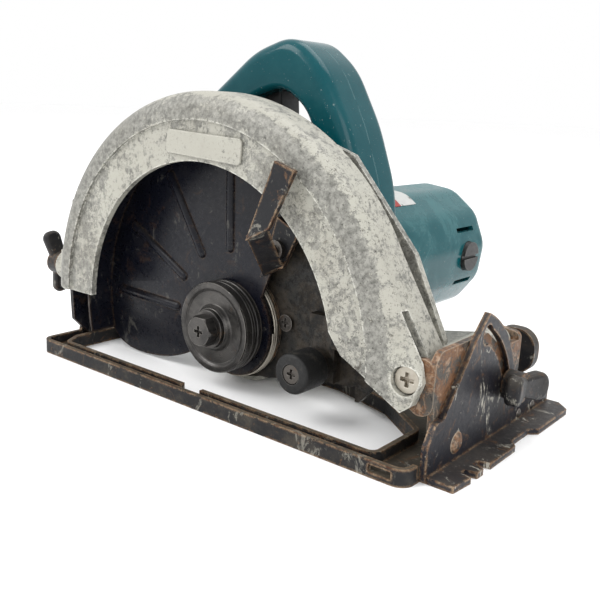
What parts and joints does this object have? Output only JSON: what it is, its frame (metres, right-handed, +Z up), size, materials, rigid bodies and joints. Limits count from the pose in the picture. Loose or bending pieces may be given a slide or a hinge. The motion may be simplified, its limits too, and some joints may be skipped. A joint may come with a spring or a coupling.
{
  "type": "circular saw",
  "caption": "Hand-held electric circular saw: cast blade case, swinging lower guard, D-handle with trigger, side motor, and a tilting, depth-adjustable steel sole.",
  "frame": {"origin": "middle of the whole saw's box, at the level of the sole's underside", "axes": "+X forward, the way it cuts; +Y from the blade side to the motor side; +Z up"},
  "size_m": [0.258, 0.1842, 0.159],
  "materials": {
    "black_steel": "worn black satin paint",
    "rusty_steel": "rusty steel",
    "steel": "dull zinc-plated steel",
    "cast_wing": "blackened, worn cast iron",
    "painted_aluminium": "cast aluminium with worn grey paint",
    "rubber": "matt black rubber",
    "teal_plastic": "glossy teal plastic, dusty",
    "label": "blank silver foil label",
    "black_plastic": "satin black plastic",
    "brass": "plain brass",
    "carbon": "pressed carbon",
    "lamination": "stacked steel sheet",
    "copper": "copper"
  },
  "bodies": {
    "sole": {"sole_plate": "black_steel", "front_plate": "black_steel", "front_rivets": "steel", "tilt_rivet": "rusty_steel", "rear_tilt_rivet": "rusty_steel", "fence_holder": "black_steel"},
    "fence_clamp": {"fence_screw": "black_steel"},
    "tilt_frame": {"pivot_bracket": "rusty_steel", "depth_guide": "black_steel", "pivot_screw": "steel", "pivot_nut": "steel"},
    "bevel_clamp": {"bevel_wing_bolt": "cast_wing"},
    "saw_head": {"blade_case": "painted_aluminium", "name_plate": "painted_aluminium", "rubber_bumper": "rubber", "bumper_screw": "steel", "bearing_retainer": "rusty_steel", "retainer_screws": "steel", "guard_snap_ring": "steel", "spindle_bearing": "steel", "spindle_needle_bearing": "steel", "armature_front_bearing": "steel", "armature_rear_bearing": "steel", "gear_housing": "painted_aluminium", "motor_housing": "teal_plastic", "rating_label": "label", "brush_caps": "black_plastic", "brush_holders": "brass", "carbon_brushes": "carbon", "stator_core": "lamination", "field_coils": "copper", "baffle_plate": "black_plastic", "handle_right_shell": "teal_plastic", "handle_left_shell": "teal_plastic", "handle_screws": "steel", "switch": "black_plastic", "cord_gland": "rubber"},
    "depth_clamp": {"depth_wing_bolt": "cast_wing"},
    "guard": {"lower_guard": "black_steel", "guard_lever": "black_steel", "lever_screw": "steel", "return_spring": "steel"},
    "spindle": {"spindle": "steel", "inner_flange": "black_steel", "outer_flange": "black_steel", "arbor_washer": "black_steel", "arbor_bolt": "black_steel", "drive_gear": "steel"},
    "armature": {"armature_shaft": "steel", "armature_core": "lamination", "commutator": "copper", "cooling_fan": "black_plastic"},
    "trigger": {"trigger": "black_plastic"},
    "lock_button": {"lock_button": "black_plastic"}
  },
  "joints": [
    {"name": "bevel_tilt", "type": "hinge", "parent": "sole", "child": "tilt_frame", "pos_m": [-0.00553, -0.0611, 0.0095], "axis": [1, 0, 0], "range_deg": [0, 45]},
    {"name": "depth_swing", "type": "hinge", "parent": "tilt_frame", "child": "saw_head", "pos_m": [0.10397, -0.0419, 0.0359], "axis": [0, 1, 0], "range_deg": [0, 7.5]},
    {"name": "guard_swing", "type": "hinge", "parent": "saw_head", "child": "guard", "pos_m": [-0.00553, -0.0579, 0.03], "axis": [0, 1, 0], "range_deg": [-120, 0], "stiffness_Nm_per_rad": 0.1, "springref_deg": 34.38},
    {"name": "spindle_spin", "type": "hinge", "parent": "saw_head", "child": "spindle", "pos_m": [-0.00553, -0.0659, 0.03], "axis": [0, 1, 0], "continuous": true},
    {"name": "armature_spin", "type": "hinge", "parent": "saw_head", "child": "armature", "pos_m": [0.01576, -0.0219, 0.05538], "axis": [0, 1, 0], "continuous": true},
    {"name": "trigger_pull", "type": "slide", "parent": "saw_head", "child": "trigger", "axis": [0.342, 0, 0.9397], "range_m": [0, 0.0045], "stiffness_N_per_m": 700, "springref_m": -0.003},
    {"name": "lock_press", "type": "slide", "parent": "saw_head", "child": "lock_button", "axis": [0, -1, 0], "range_m": [0, 0.002], "stiffness_N_per_m": 400, "springref_m": -0.002},
    {"name": "bevel_clamp_turn", "type": "hinge", "parent": "tilt_frame", "child": "bevel_clamp", "pos_m": [0.11687, -0.02021, 0.02279], "axis": [1, 0, 0], "range_deg": [0, 180]},
    {"name": "depth_clamp_turn", "type": "hinge", "parent": "saw_head", "child": "depth_clamp", "pos_m": [-0.11553, -0.06965, 0.042], "axis": [-1, 0, 0], "range_deg": [0, 180]},
    {"name": "fence_clamp_turn", "type": "hinge", "parent": "sole", "child": "fence_clamp", "pos_m": [0.10097, 0.0221, 0.02], "axis": [0, 0, 1], "range_deg": [0, 180]}
  ],
  "couplings": [
    {"joint": "armature_spin", "follows": "spindle_spin", "ratio": -3.8182}
  ]
}
